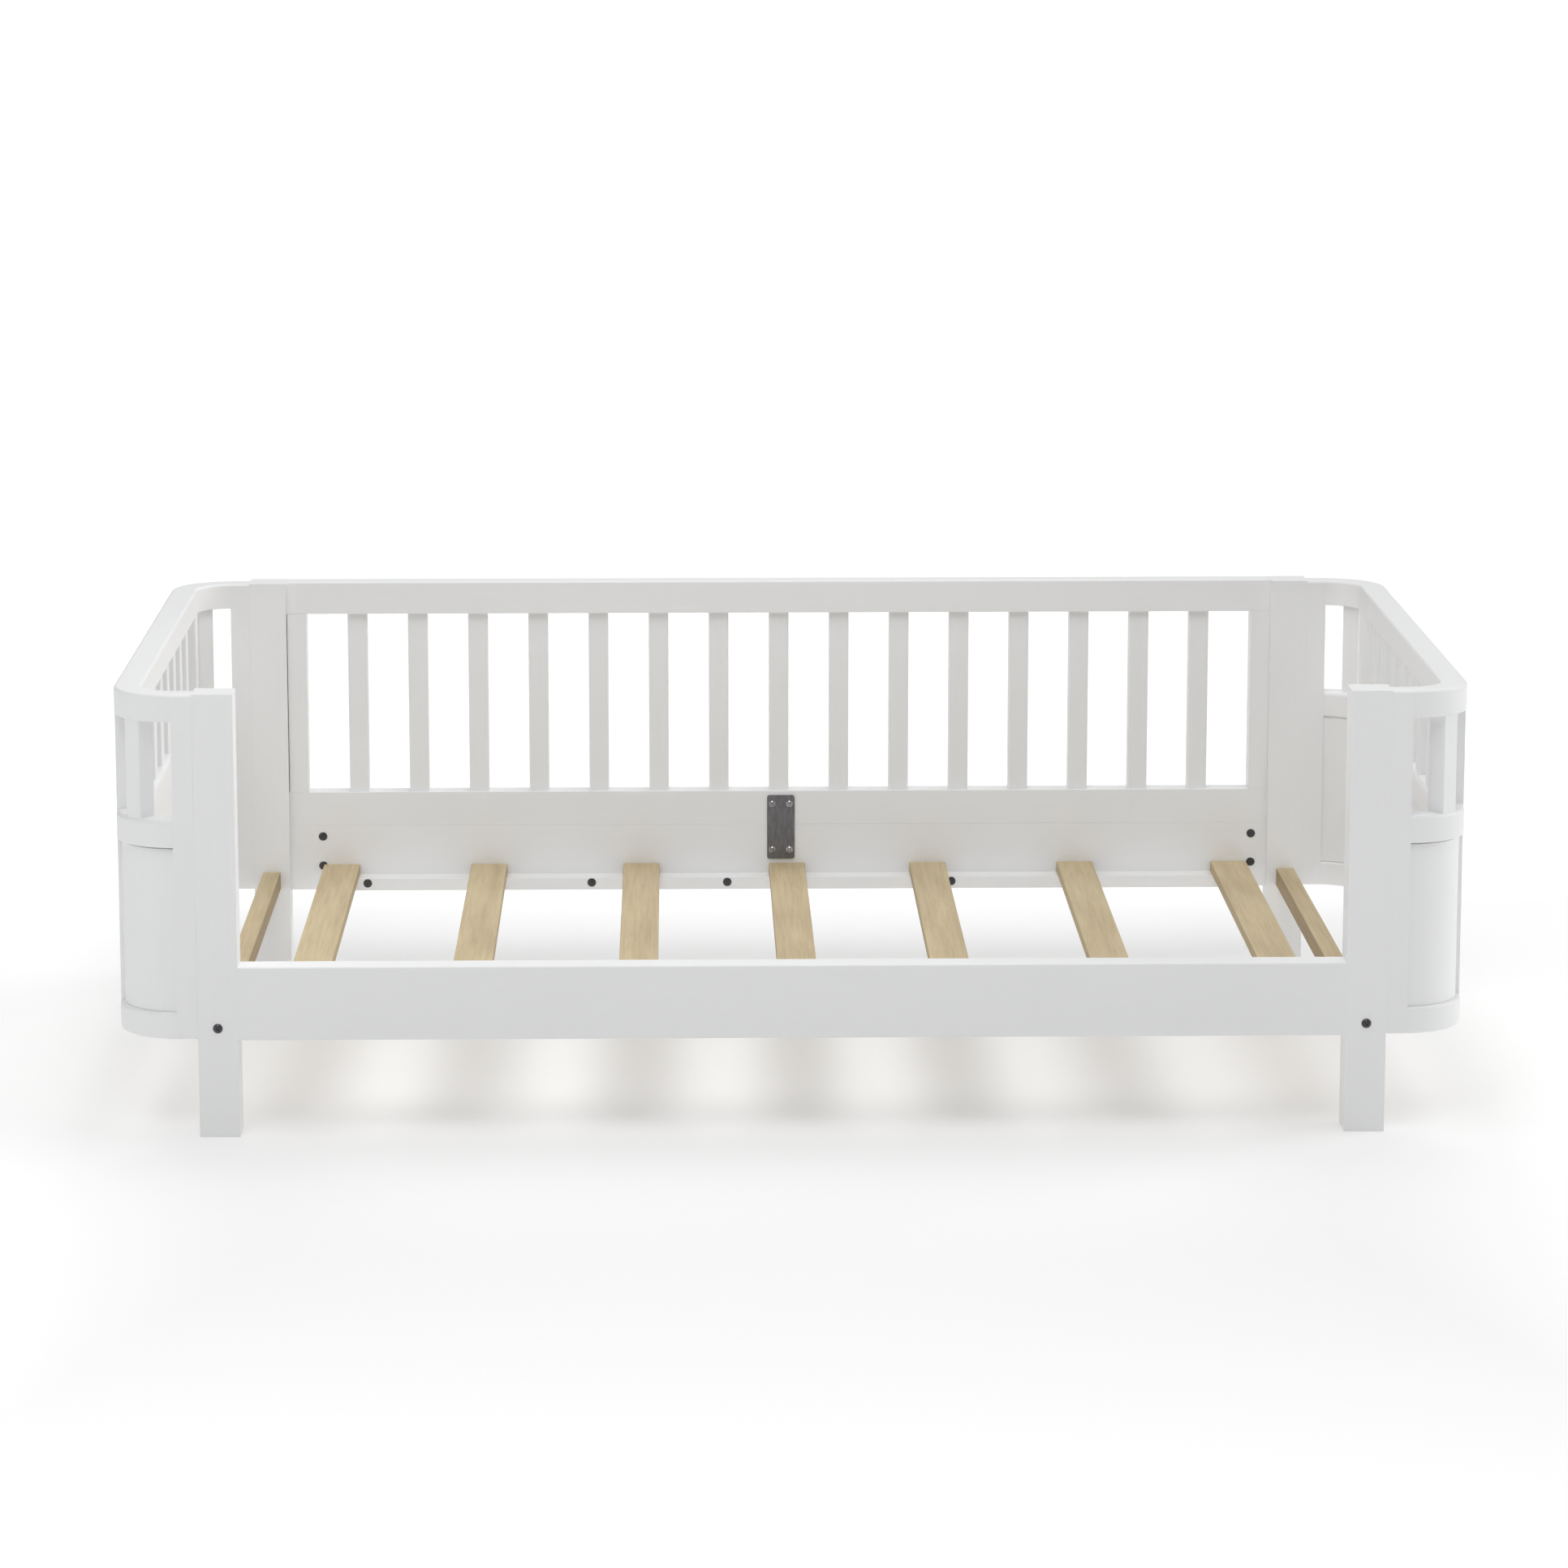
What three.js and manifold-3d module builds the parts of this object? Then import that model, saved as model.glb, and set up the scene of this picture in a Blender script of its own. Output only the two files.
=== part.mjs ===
// A toddler bed in painted wood, in millimetres: +X along its length, +Y to the guarded back, +Z up.
// The origin is on the floor at the middle of the bed's footprint.
//
// Four square posts carry a front rail, a back board and a slatted guard rail. At each end a U-shaped
// frame with rounded corners joins a front post to a back post. Two crossbars, bolted through the
// posts, tie front to back, and seven loose slats lie across two ledges to hold the mattress.

import * as THREE from 'three';
import { mergeVertices } from 'three/addons/utils/BufferGeometryUtils.js';
import Module from 'manifold-3d';

const wasm = await Module();
wasm.setup();

// ---- Driving dimensions ----

const GAP = 0.05;                      // hairline left at every joint between two pieces
const BED_HALF_DEPTH = 393.8;          // origin to the front and back faces of the posts

const POST_OUTER_X = 609.5;
const POST_WIDTH = 41.4;               // along the bed's length
const POST_DEPTH = 39.6;
const POST_HEIGHT = 461.4;

const FRONT_RAIL_BOTTOM = 101.6;
const FRONT_RAIL_TOP = 178.6;
const FRONT_RAIL_THICKNESS = 30.3;

const GUARD_THICKNESS = 27.5;          // guard rail and back board alike
const BACK_BOARD_BOTTOM = 100;
const BACK_BOARD_TOP = 175.7;
const GUARD_LOWER_TOP = 214.9;
const GUARD_TOP_BOTTOM = 424.5;
const GUARD_STILE_WIDTH = 22;
const GUARD_STILE_SIDE_GAP = { left: 0.7, right: GAP };   // between each guard stile and its post
const SPINDLE_COUNT = 15;
const SPINDLE_PITCH = 69.5;
const SPINDLE_FIRST_X = -486.8;
const SPINDLE_WIDTH = 22.8;
const SPINDLE_THICKNESS = 16;

const LEDGE_HALF_LENGTH = 525;
const LEDGE_DEPTH = 26;
const LEDGE_BOTTOM = 104;
const LEDGE_HEIGHT = 14;

const BED_SLAT_X = [-508.3, -337.2, -160.2, 9, 172.6, 344.3, 523.7];
const BED_SLAT_WIDTH = 41.7;
const BED_SLAT_THICKNESS = 12;
const BED_SLAT_END_CLEARANCE = 0.3;    // the slats are loose

const CROSSBAR_X = 589.2;
const CROSSBAR_SECTION = 20;
const CROSSBAR_BOTTOM = 103.2;

const BOLT_Z = 114.7;                  // the bolts sit 1.5 mm above the middle of the crossbars
const BOLT_HEAD_RADIUS = 5;
const BOLT_HEAD_HEIGHT = 2.4;
const BOLT_SHANK_RADIUS = 3;
const BOLT_LENGTH = 70;
const BOLT_CLEARANCE = 0.3;
const BOLT_SOCKET_ACROSS_FLATS = 4;
const BOLT_SOCKET_DEPTH = 1.6;

const PLATE_X = 2;
const PLATE_WIDTH = 32;
const PLATE_BOTTOM = 134.8;
const PLATE_TOP = 210;
const PLATE_THICKNESS = 1.6;
const PLATE_CORNER_RADIUS = 3;

// End frames. Each is symmetrical front to back about a line 5.5 mm ahead of the bed's middle.
const END_MIDDLE_Y = -5.5;
const END_HALF_DEPTH = 388.3;          // from that line to the frame's outer front and back faces
const END_OUTER_X = 694.2;
const CORNER_RADIUS = 66.3;            // outer face of the rounded corners
const END_RAIL_THICKNESS = 28.5;
const BOTTOM_RAIL = { bottom: 103, top: 131 };
const MIDDLE_RAIL = { bottom: 303, top: 331.5 };
const TOP_RAIL = { bottom: 433, top: 461 };
const END_STILE_WIDTH = 21.5;
const CORNER_STILE_WIDTH = 30;
const PANEL_RECESS = 4.8;
const PANEL_THICKNESS = 22;
const PANEL_TOP_GAP = 1.9;             // shadow gap between the panels and the middle rail
const RIB_DEPTH = { outside: 13, inside: 0.8 };   // how deep the gap runs before the rib that closes it
const END_SLAT_COUNT = 7;
const END_SLAT_PITCH = 75;
const END_SLAT_WIDTH = 22.5;
const END_SLAT_THICKNESS = 20;
const END_SLAT_RECESS = 5;             // set back from the rails' outer face
const CORNER_SLAT_RECESS = 2.5;
const CORNER_SLAT_ANGLE = 45 * Math.PI / 180;   // from +X, turning towards the front or back

const ARC_STEPS = 16;                  // straight segments in a quarter turn
const ROUND_STEPS = 24;                // sides of a bolt head
const JOIN_DEPTH = 1;                  // how far fused pieces run into each other

// ---- Derived places ----

const POST_INNER_X = POST_OUTER_X - POST_WIDTH;
const POST_INNER_Y = BED_HALF_DEPTH - POST_DEPTH;
const GUARD_INNER_Y = BED_HALF_DEPTH - GUARD_THICKNESS;
const FRONT_RAIL_INNER_Y = -BED_HALF_DEPTH + FRONT_RAIL_THICKNESS;
const LEDGE_TOP = LEDGE_BOTTOM + LEDGE_HEIGHT;
const END_RAIL_START_X = POST_OUTER_X + END_STILE_WIDTH;
const ARC_X = END_OUTER_X - CORNER_RADIUS;
const ARC_Y = END_HALF_DEPTH - CORNER_RADIUS;

// ---- Materials ----

const white_paint = { color: 0xeeecea, roughness: 0.45, metalness: 0 };
const natural_wood = { color: 0xc9b68e, roughness: 0.65, metalness: 0 };
const dark_steel = { color: 0x2c2c2e, roughness: 0.4, metalness: 0.9 };

// ---- Helpers ----

const bed = new THREE.Group();

function addPiece(name, geometry, finish) {
  const mesh = new THREE.Mesh(geometry, new THREE.MeshStandardMaterial(finish));
  mesh.name = name;
  bed.add(mesh);
  return mesh;
}

// A box given by its lowest and highest corners.
function boxBetween(x0, x1, y0, y1, z0, z1) {
  const geometry = new THREE.BoxGeometry(x1 - x0, y1 - y0, z1 - z0);
  geometry.translate((x0 + x1) / 2, (y0 + y1) / 2, (z0 + z1) / 2);
  return geometry;
}

// A flat outline in X and Y, raised from one height to another.
function raised(shape, bottom, top) {
  const settings = { depth: top - bottom, bevelEnabled: false, curveSegments: ARC_STEPS };
  const geometry = new THREE.ExtrudeGeometry(shape, settings);
  geometry.translate(0, 0, bottom);
  return geometry;
}

function toSolid(geometry) {
  const bare = geometry.clone();
  bare.deleteAttribute('normal');
  bare.deleteAttribute('uv');
  const merged = mergeVertices(bare, 1e-4);
  const vertProperties = new Float32Array(merged.attributes.position.array);
  const triVerts = new Uint32Array(merged.index.array);
  return new wasm.Manifold(new wasm.Mesh({ numProp: 3, vertProperties, triVerts }));
}

function toGeometry(solid) {
  const mesh = solid.getMesh();
  const geometry = new THREE.BufferGeometry();
  geometry.setAttribute('position', new THREE.BufferAttribute(mesh.vertProperties, 3));
  geometry.setIndex(new THREE.BufferAttribute(mesh.triVerts, 1));
  const flat = geometry.toNonIndexed();
  flat.computeVertexNormals();
  return flat;
}

function fuse(geometries) {
  return toGeometry(geometries.map(toSolid).reduce((whole, next) => whole.add(next)));
}

function cut(geometry, tools) {
  return toGeometry(tools.map(toSolid).reduce((whole, tool) => whole.subtract(tool), toSolid(geometry)));
}

// A cylinder along Y, from one Y to another.
function rodAlongY(radius, x, z, y0, y1, sides = ROUND_STEPS) {
  const geometry = new THREE.CylinderGeometry(radius, radius, y1 - y0, sides);
  geometry.translate(x, (y0 + y1) / 2, z);
  return geometry;
}

const SIDES = [{ name: 'left', sign: -1 }, { name: 'right', sign: 1 }];
const FACES = [{ name: 'front', sign: -1 }, { name: 'back', sign: 1 }];

// ---- Posts, rails and ledges ----

// A square post with the clearance hole for the bolt that holds its crossbar.
function addPost(side, face) {
  const x = side.sign * (POST_OUTER_X - POST_WIDTH / 2);
  const y = face.sign * (BED_HALF_DEPTH - POST_DEPTH / 2);
  const block = boxBetween(x - POST_WIDTH / 2, x + POST_WIDTH / 2, y - POST_DEPTH / 2, y + POST_DEPTH / 2,
    0, POST_HEIGHT);
  const holeRadius = BOLT_SHANK_RADIUS + BOLT_CLEARANCE;
  const hole = rodAlongY(holeRadius, side.sign * CROSSBAR_X, BOLT_Z, y - POST_DEPTH, y + POST_DEPTH);
  addPiece(`post_${face.name}_${side.name}`, cut(block, [hole]), white_paint);
}

function addFrontRail() {
  const endX = POST_INNER_X - GAP;
  addPiece('front_rail', boxBetween(-endX, endX, -BED_HALF_DEPTH, FRONT_RAIL_INNER_Y,
    FRONT_RAIL_BOTTOM, FRONT_RAIL_TOP), white_paint);
}

function addBackBoard() {
  const endX = POST_INNER_X - GAP;
  addPiece('back_board', boxBetween(-endX, endX, GUARD_INNER_Y, BED_HALF_DEPTH,
    BACK_BOARD_BOTTOM, BACK_BOARD_TOP - GAP), white_paint);
}

function addLedges() {
  const frontY = FRONT_RAIL_INNER_Y + GAP;
  const backY = GUARD_INNER_Y - GAP;
  addPiece('ledge_front', boxBetween(-LEDGE_HALF_LENGTH, LEDGE_HALF_LENGTH, frontY, frontY + LEDGE_DEPTH,
    LEDGE_BOTTOM, LEDGE_TOP), white_paint);
  addPiece('ledge_back', boxBetween(-LEDGE_HALF_LENGTH, LEDGE_HALF_LENGTH, backY - LEDGE_DEPTH, backY,
    LEDGE_BOTTOM, LEDGE_TOP), white_paint);
}

// ---- Guard rail along the back ----

function addGuardRails() {
  const endX = POST_INNER_X - GAP;
  addPiece('guard_lower_rail', boxBetween(-endX, endX, GUARD_INNER_Y, BED_HALF_DEPTH,
    BACK_BOARD_TOP, GUARD_LOWER_TOP), white_paint);
  addPiece('guard_top_rail', boxBetween(-endX, endX, GUARD_INNER_Y, BED_HALF_DEPTH,
    GUARD_TOP_BOTTOM, POST_HEIGHT), white_paint);
}

function addGuardStiles() {
  for (const side of SIDES) {
    const outerX = POST_INNER_X - GUARD_STILE_SIDE_GAP[side.name];
    const innerX = outerX - GUARD_STILE_WIDTH;
    const x0 = Math.min(side.sign * innerX, side.sign * outerX);
    addPiece(`guard_stile_${side.name}`, boxBetween(x0, x0 + GUARD_STILE_WIDTH, GUARD_INNER_Y,
      BED_HALF_DEPTH, GUARD_LOWER_TOP + GAP, GUARD_TOP_BOTTOM - GAP), white_paint);
  }
}

function addSpindles() {
  const middleY = BED_HALF_DEPTH - GUARD_THICKNESS / 2;
  for (let i = 0; i < SPINDLE_COUNT; i++) {
    const x = SPINDLE_FIRST_X + i * SPINDLE_PITCH;
    addPiece(`guard_spindle_${i + 1}`, boxBetween(x - SPINDLE_WIDTH / 2, x + SPINDLE_WIDTH / 2,
      middleY - SPINDLE_THICKNESS / 2, middleY + SPINDLE_THICKNESS / 2,
      GUARD_LOWER_TOP + GAP, GUARD_TOP_BOTTOM - GAP), white_paint);
  }
}

// The steel plate on the inner face, which ties the guard's lower rail to the back board.
function addPlate() {
  const halfWidth = PLATE_WIDTH / 2 - PLATE_CORNER_RADIUS;
  const halfHeight = (PLATE_TOP - PLATE_BOTTOM) / 2 - PLATE_CORNER_RADIUS;
  const quarter = Math.PI / 2;
  const outline = new THREE.Shape();
  outline.absarc(halfWidth, halfHeight, PLATE_CORNER_RADIUS, 0, quarter, false);
  outline.absarc(-halfWidth, halfHeight, PLATE_CORNER_RADIUS, quarter, 2 * quarter, false);
  outline.absarc(-halfWidth, -halfHeight, PLATE_CORNER_RADIUS, 2 * quarter, 3 * quarter, false);
  outline.absarc(halfWidth, -halfHeight, PLATE_CORNER_RADIUS, 3 * quarter, 4 * quarter, false);
  outline.closePath();
  const settings = { depth: PLATE_THICKNESS, bevelEnabled: false, curveSegments: 4 };
  const geometry = new THREE.ExtrudeGeometry(outline, settings);
  geometry.rotateX(Math.PI / 2);
  geometry.translate(PLATE_X, GUARD_INNER_Y - GAP, (PLATE_BOTTOM + PLATE_TOP) / 2);
  addPiece('guard_plate', geometry, dark_steel);
}

// ---- Mattress support ----

function addBedSlats() {
  const bottom = LEDGE_TOP + GAP;
  BED_SLAT_X.forEach((x, i) => {
    addPiece(`bed_slat_${i + 1}`, boxBetween(x - BED_SLAT_WIDTH / 2, x + BED_SLAT_WIDTH / 2,
      FRONT_RAIL_INNER_Y + BED_SLAT_END_CLEARANCE, GUARD_INNER_Y - BED_SLAT_END_CLEARANCE,
      bottom, bottom + BED_SLAT_THICKNESS), natural_wood);
  });
}

// A square bar between a front and a back post, bored at each end for its bolt.
function addCrossbar(side) {
  const x = side.sign * CROSSBAR_X;
  const half = CROSSBAR_SECTION / 2;
  const endY = POST_INNER_Y - GAP;
  const bar = boxBetween(x - half, x + half, -endY, endY, CROSSBAR_BOTTOM, CROSSBAR_BOTTOM + CROSSBAR_SECTION);
  const boreRadius = BOLT_SHANK_RADIUS + BOLT_CLEARANCE;
  const boreBottomY = BED_HALF_DEPTH - BOLT_LENGTH - 2 * BOLT_CLEARANCE;
  const bores = [
    rodAlongY(boreRadius, x, BOLT_Z, -BED_HALF_DEPTH, -boreBottomY),
    rodAlongY(boreRadius, x, BOLT_Z, boreBottomY, BED_HALF_DEPTH),
  ];
  addPiece(`crossbar_${side.name}`, cut(bar, bores), natural_wood);
}

// A button-head bolt whose domed head bears on the post and whose shank reaches into the crossbar.
function addCrossbarBolt(side, face) {
  const sphereRadius = (BOLT_HEAD_RADIUS ** 2 + BOLT_HEAD_HEIGHT ** 2) / (2 * BOLT_HEAD_HEIGHT);
  const profile = [new THREE.Vector2(0, -BOLT_LENGTH), new THREE.Vector2(BOLT_SHANK_RADIUS, -BOLT_LENGTH),
    new THREE.Vector2(BOLT_SHANK_RADIUS, BOLT_CLEARANCE), new THREE.Vector2(BOLT_HEAD_RADIUS, BOLT_CLEARANCE)];
  const edgeAngle = Math.asin(BOLT_HEAD_RADIUS / sphereRadius);
  const domeSteps = 5;
  for (let i = 1; i <= domeSteps; i++) {
    const angle = edgeAngle * (1 - i / domeSteps);
    const height = BOLT_HEAD_HEIGHT - sphereRadius * (1 - Math.cos(angle));
    profile.push(new THREE.Vector2(sphereRadius * Math.sin(angle), height + BOLT_CLEARANCE));
  }
  const body = new THREE.LatheGeometry(profile, ROUND_STEPS);
  const socketRadius = BOLT_SOCKET_ACROSS_FLATS / Math.sqrt(3);
  const socket = new THREE.CylinderGeometry(socketRadius, socketRadius, 2 * BOLT_SOCKET_DEPTH, 6);
  socket.translate(0, BOLT_HEAD_HEIGHT + BOLT_CLEARANCE, 0);
  const geometry = cut(body, [socket]);
  geometry.rotateX(face.sign > 0 ? 0 : Math.PI);
  const bolt = addPiece(`crossbar_bolt_${face.name}_${side.name}`, geometry, dark_steel);
  bolt.position.set(side.sign * CROSSBAR_X, face.sign * BED_HALF_DEPTH, BOLT_Z);
}

// ---- End frames, drawn for the right-hand end about their own middle line ----

// Angles on an arc of the front corner where it crosses a given X or Y.
function angleAtX(radius, x) {
  return -Math.acos((x - ARC_X) / radius);
}

function angleAtY(radius, y) {
  return Math.asin((y + ARC_Y) / radius);
}

// A U shape: two rounded corners joined by a straight side, open towards the posts.
function uOutline(outer, inner) {
  const startX = END_RAIL_START_X + GAP;
  const outline = new THREE.Shape();
  outline.absarc(ARC_X, -ARC_Y, outer, angleAtX(outer, startX), 0, false);
  outline.absarc(ARC_X, ARC_Y, outer, 0, -angleAtX(outer, startX), false);
  outline.absarc(ARC_X, ARC_Y, inner, -angleAtX(inner, startX), 0, true);
  outline.absarc(ARC_X, -ARC_Y, inner, 0, angleAtX(inner, startX), true);
  outline.closePath();
  return outline;
}

function railOutline() {
  return uOutline(CORNER_RADIUS, CORNER_RADIUS - END_RAIL_THICKNESS);
}

// The rib under the middle rail that the panels butt against.
function ribOutline() {
  const panelOuter = CORNER_RADIUS - PANEL_RECESS;
  return uOutline(panelOuter - RIB_DEPTH.outside, panelOuter - PANEL_THICKNESS + RIB_DEPTH.inside);
}

// A curved panel filling the front corner between the end stile and the corner stile.
function cornerPanelOutline() {
  const outer = CORNER_RADIUS - PANEL_RECESS;
  const inner = outer - PANEL_THICKNESS;
  const startX = END_RAIL_START_X + GAP;
  const endY = -ARC_Y - GAP;
  const outline = new THREE.Shape();
  outline.absarc(ARC_X, -ARC_Y, outer, angleAtX(outer, startX), angleAtY(outer, endY), false);
  outline.absarc(ARC_X, -ARC_Y, inner, angleAtY(inner, endY), angleAtX(inner, startX), true);
  outline.closePath();
  return outline;
}

function mirroredY(geometry) {
  const mirrored = geometry.clone();
  mirrored.rotateX(Math.PI);
  return mirrored;
}

// The middle rail with everything tenoned into it: the corner stiles above and below it, and the
// slats of the open upper part.
function middleRailComb() {
  const ribBottom = MIDDLE_RAIL.bottom - PANEL_TOP_GAP + GAP;
  const pieces = [
    raised(railOutline(), MIDDLE_RAIL.bottom, MIDDLE_RAIL.top),
    raised(ribOutline(), ribBottom, MIDDLE_RAIL.bottom + JOIN_DEPTH),
  ];
  const upperBottom = MIDDLE_RAIL.top - JOIN_DEPTH;
  const upperTop = TOP_RAIL.bottom - GAP;
  const lowerBottom = BOTTOM_RAIL.top + GAP;
  const lowerTop = MIDDLE_RAIL.bottom + JOIN_DEPTH;
  const railInnerX = END_OUTER_X - END_RAIL_THICKNESS;
  for (const face of FACES) {
    const outerY = face.sign * ARC_Y;
    const innerY = face.sign * (ARC_Y - CORNER_STILE_WIDTH);
    const y0 = Math.min(outerY, innerY);
    const y1 = Math.max(outerY, innerY);
    pieces.push(boxBetween(railInnerX, END_OUTER_X, y0, y1, upperBottom, upperTop));
    pieces.push(boxBetween(railInnerX, END_OUTER_X, y0, y1, lowerBottom, lowerTop));
    const slatMiddle = CORNER_RADIUS - CORNER_SLAT_RECESS - END_SLAT_THICKNESS / 2;
    const slat = boxBetween(slatMiddle - END_SLAT_THICKNESS / 2, slatMiddle + END_SLAT_THICKNESS / 2,
      -END_SLAT_WIDTH / 2, END_SLAT_WIDTH / 2, upperBottom, upperTop);
    slat.rotateZ(face.sign * CORNER_SLAT_ANGLE);
    slat.translate(ARC_X, face.sign * ARC_Y, 0);
    pieces.push(slat);
  }
  const slatOuterX = END_OUTER_X - END_SLAT_RECESS;
  for (let i = 0; i < END_SLAT_COUNT; i++) {
    const y = (i - (END_SLAT_COUNT - 1) / 2) * END_SLAT_PITCH;
    pieces.push(boxBetween(slatOuterX - END_SLAT_THICKNESS, slatOuterX, y - END_SLAT_WIDTH / 2,
      y + END_SLAT_WIDTH / 2, upperBottom, upperTop));
  }
  return fuse(pieces);
}

function addEndFrame(side) {
  const turn = side.sign > 0 ? 0 : Math.PI;
  const near = side.sign > 0 ? ['front', 'back'] : ['back', 'front'];
  function addEndPiece(name, geometry) {
    geometry.rotateZ(turn);
    geometry.translate(0, END_MIDDLE_Y, 0);
    addPiece(`end_${side.name}_${name}`, geometry, white_paint);
  }

  addEndPiece('bottom_rail', raised(railOutline(), BOTTOM_RAIL.bottom, BOTTOM_RAIL.top));
  addEndPiece('middle_rail_and_slats', middleRailComb());
  addEndPiece('top_rail', raised(railOutline(), TOP_RAIL.bottom, TOP_RAIL.top));

  const stile = boxBetween(POST_OUTER_X + GAP, END_RAIL_START_X, -END_HALF_DEPTH,
    -END_HALF_DEPTH + END_RAIL_THICKNESS, BOTTOM_RAIL.bottom, TOP_RAIL.top);
  const otherStile = boxBetween(POST_OUTER_X + GAP, END_RAIL_START_X, END_HALF_DEPTH - END_RAIL_THICKNESS,
    END_HALF_DEPTH, BOTTOM_RAIL.bottom, TOP_RAIL.top);
  addEndPiece(`stile_${near[0]}`, stile);
  addEndPiece(`stile_${near[1]}`, otherStile);

  const panelBottom = BOTTOM_RAIL.top + GAP;
  const panelTop = MIDDLE_RAIL.bottom - PANEL_TOP_GAP;
  const corner = raised(cornerPanelOutline(), panelBottom, panelTop);
  const otherCorner = mirroredY(corner);
  otherCorner.translate(0, 0, panelBottom + panelTop);
  addEndPiece(`panel_${near[0]}_corner`, corner);
  addEndPiece(`panel_${near[1]}_corner`, otherCorner);
  const panelOuterX = END_OUTER_X - PANEL_RECESS;
  const panelHalfLength = ARC_Y - CORNER_STILE_WIDTH - GAP;
  addEndPiece('panel_side', boxBetween(panelOuterX - PANEL_THICKNESS, panelOuterX,
    -panelHalfLength, panelHalfLength, panelBottom, panelTop));
}

// ---- Assembly ----

for (const side of SIDES) {
  for (const face of FACES) {
    addPost(side, face);
    addCrossbarBolt(side, face);
  }
  addCrossbar(side);
  addEndFrame(side);
}
addFrontRail();
addBackBoard();
addLedges();
addGuardRails();
addGuardStiles();
addSpindles();
addPlate();
addBedSlats();

export default bed;
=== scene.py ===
# The looks of the toddler bed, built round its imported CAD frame.
# Metres: +X runs right along the bed, +Y to its back, +Z up.
#
# The posts, side panels, bed slats, crossbars and plate stay as CAD nodes, and get eased edges and
# a material. The rest is rebuilt here, one piece each: straight rails, stiles, spindles and end
# slats with rounded long edges, and bent rails, curved panels, bolts and screws with smooth curves.

import math

import bmesh
import bpy
from mathutils import Matrix, Vector


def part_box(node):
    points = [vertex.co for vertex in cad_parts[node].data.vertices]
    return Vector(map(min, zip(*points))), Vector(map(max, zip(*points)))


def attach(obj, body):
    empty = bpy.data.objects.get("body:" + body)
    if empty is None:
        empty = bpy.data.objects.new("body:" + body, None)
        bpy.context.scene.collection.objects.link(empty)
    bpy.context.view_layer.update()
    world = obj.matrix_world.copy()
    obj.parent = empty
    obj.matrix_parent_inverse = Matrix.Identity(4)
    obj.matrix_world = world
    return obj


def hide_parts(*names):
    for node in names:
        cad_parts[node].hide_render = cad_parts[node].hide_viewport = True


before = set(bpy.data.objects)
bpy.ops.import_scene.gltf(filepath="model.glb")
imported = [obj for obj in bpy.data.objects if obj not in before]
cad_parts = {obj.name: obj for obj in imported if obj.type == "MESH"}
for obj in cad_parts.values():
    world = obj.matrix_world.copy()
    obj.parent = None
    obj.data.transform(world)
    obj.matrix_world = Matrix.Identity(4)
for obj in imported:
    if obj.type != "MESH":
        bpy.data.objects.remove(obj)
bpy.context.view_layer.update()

BODY = "root"

SIDES = {"left": -1, "right": 1}
FACES = {"front": -1, "back": 1}

# ---- Sizes shared with the CAD, in metres ----

# The hairline gap of a glued joint, and the shadow gap between the panels and the middle rail. The
# rib in that gap is set back from the outside and from the inside of the panels.
JOINT_GAP = 0.00005
PANEL_TOP_GAP = 0.0019
RIB_OUTSIDE = 0.013
RIB_INSIDE = 0.0008

# The rounded corners of the end frames, and what stands in them.
CORNER_RADIUS = 0.0663
RAIL_THICKNESS = 0.0285
PANEL_RECESS = 0.0048
PANEL_THICKNESS = 0.022
CORNER_STILE_WIDTH = 0.030

# The upright slats of each end. SLAT_TENON is how far a piece reaches into the middle rail.
SLAT_COUNT = 7
SLAT_PITCH = 0.075
SLAT_WIDTH = 0.0225
SLAT_THICKNESS = 0.020
SLAT_RECESS = 0.005
CORNER_SLAT_RECESS = 0.0025
SLAT_TENON = 0.001
CORNER_SLAT_ANGLE = math.radians(45)

# ---- Rounded edges, in metres ----

RAIL_EDGE = 0.0030
MIDDLE_RAIL_UPPER_EDGE = 0.0052
BOTTOM_RAIL_UPPER_EDGE = 0.0036
BAR_EDGE = 0.0022
POST_EDGE = 0.0006
SLAT_EDGE = 0.0020
PANEL_EDGE = 0.0006
STILE_EDGE = 0.0006
FLUSH_EDGE = 0.0003
LEAST_EDGE = 0.0001
WOOD_EDGE = 0.0010
PLATE_EDGE = 0.0004

# ---- Light ----

WORLD_STRENGTH = 0.12

# Soft light from far off: the way towards it, its strength, and how wide it looks in degrees.
SUNS = {
    "right_light": ((0.90, -0.15, 0.50), 0.38, 40),
    "right_back_light": ((0.90, 0.28, 0.42), 1.00, 40),
    "left_light": ((-0.90, -0.15, 0.45), 0.42, 40),
    "back_light": ((0.0, 0.60, 0.80), 0.90, 50),
    "front_top_light": ((0.0, -0.45, 0.89), 0.71, 40),
}

# Square area lights: their place, what they face, their size in metres and their power in watts.
SOFTBOXES = {
    "overhead_softbox": ((0, -0.30, 1.75), (0, 0.30, 0.2), 0.9, 4.5),
    "front_softbox": ((-1.0, -2.2, 2.6), (-0.3, -0.3, 0.3), 1.4, 11.5),
}

# The floor's own glow: its strengths, and where it fades from one to the next. The weaker glow
# beneath the bed paints the bed's shadow.
FLOOR_ALBEDO = 0.70
GLOW_BENEATH = 0.23
GLOW_AROUND = 0.37
GLOW_BEHIND = 0.50
FADE_BESIDE = (0.50, 0.85)
FADE_BEFORE = (-1.80, -0.80)
FADE_BEHIND = (0.40, 1.10)

# ---- Colours of the materials ----

PAINT_COLOR = (0.896, 0.900, 0.905)
WOOD_LIGHT = (0.635, 0.525, 0.328)
WOOD_DARK = (0.545, 0.435, 0.270)
# Dims the crossbars' wood a little: painted shade for the posts and rails above them.
CROSSBAR_PAINTED_SHADE = 0.95
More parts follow.
